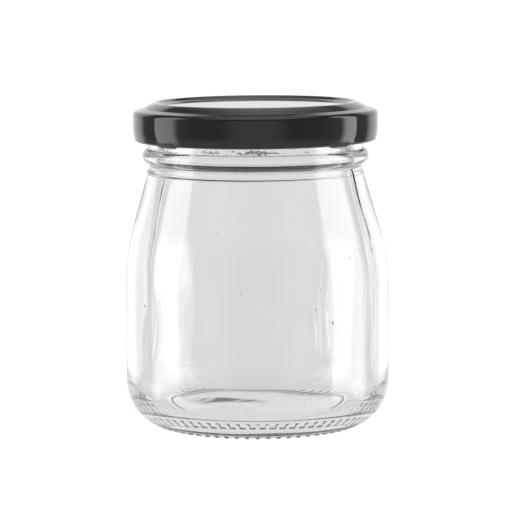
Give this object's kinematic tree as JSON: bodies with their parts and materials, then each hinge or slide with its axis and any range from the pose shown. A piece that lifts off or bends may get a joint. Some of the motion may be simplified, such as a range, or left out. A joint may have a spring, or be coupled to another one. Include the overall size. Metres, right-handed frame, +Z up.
{
  "type": "pudding jar",
  "caption": "Small clear glass jar with sloping shoulders, a beaded neck and a knurled base, closed by a black pressed steel twist-off lid.",
  "frame": {"origin": "centre of the base, on the surface that the jar stands on", "axes": "+Z up along the jar's axis, through the middle of the lid"},
  "size_m": [0.0724, 0.0724, 0.0879],
  "materials": {
    "clear_glass": "clear colourless glass, polished, with the faint waviness and seeds of a moulded jar",
    "black_lacquer": "glossy black baked lacquer on pressed steel sheet"
  },
  "bodies": {
    "root": {"jar": "clear_glass", "lid": "black_lacquer"}
  },
  "joints": []
}
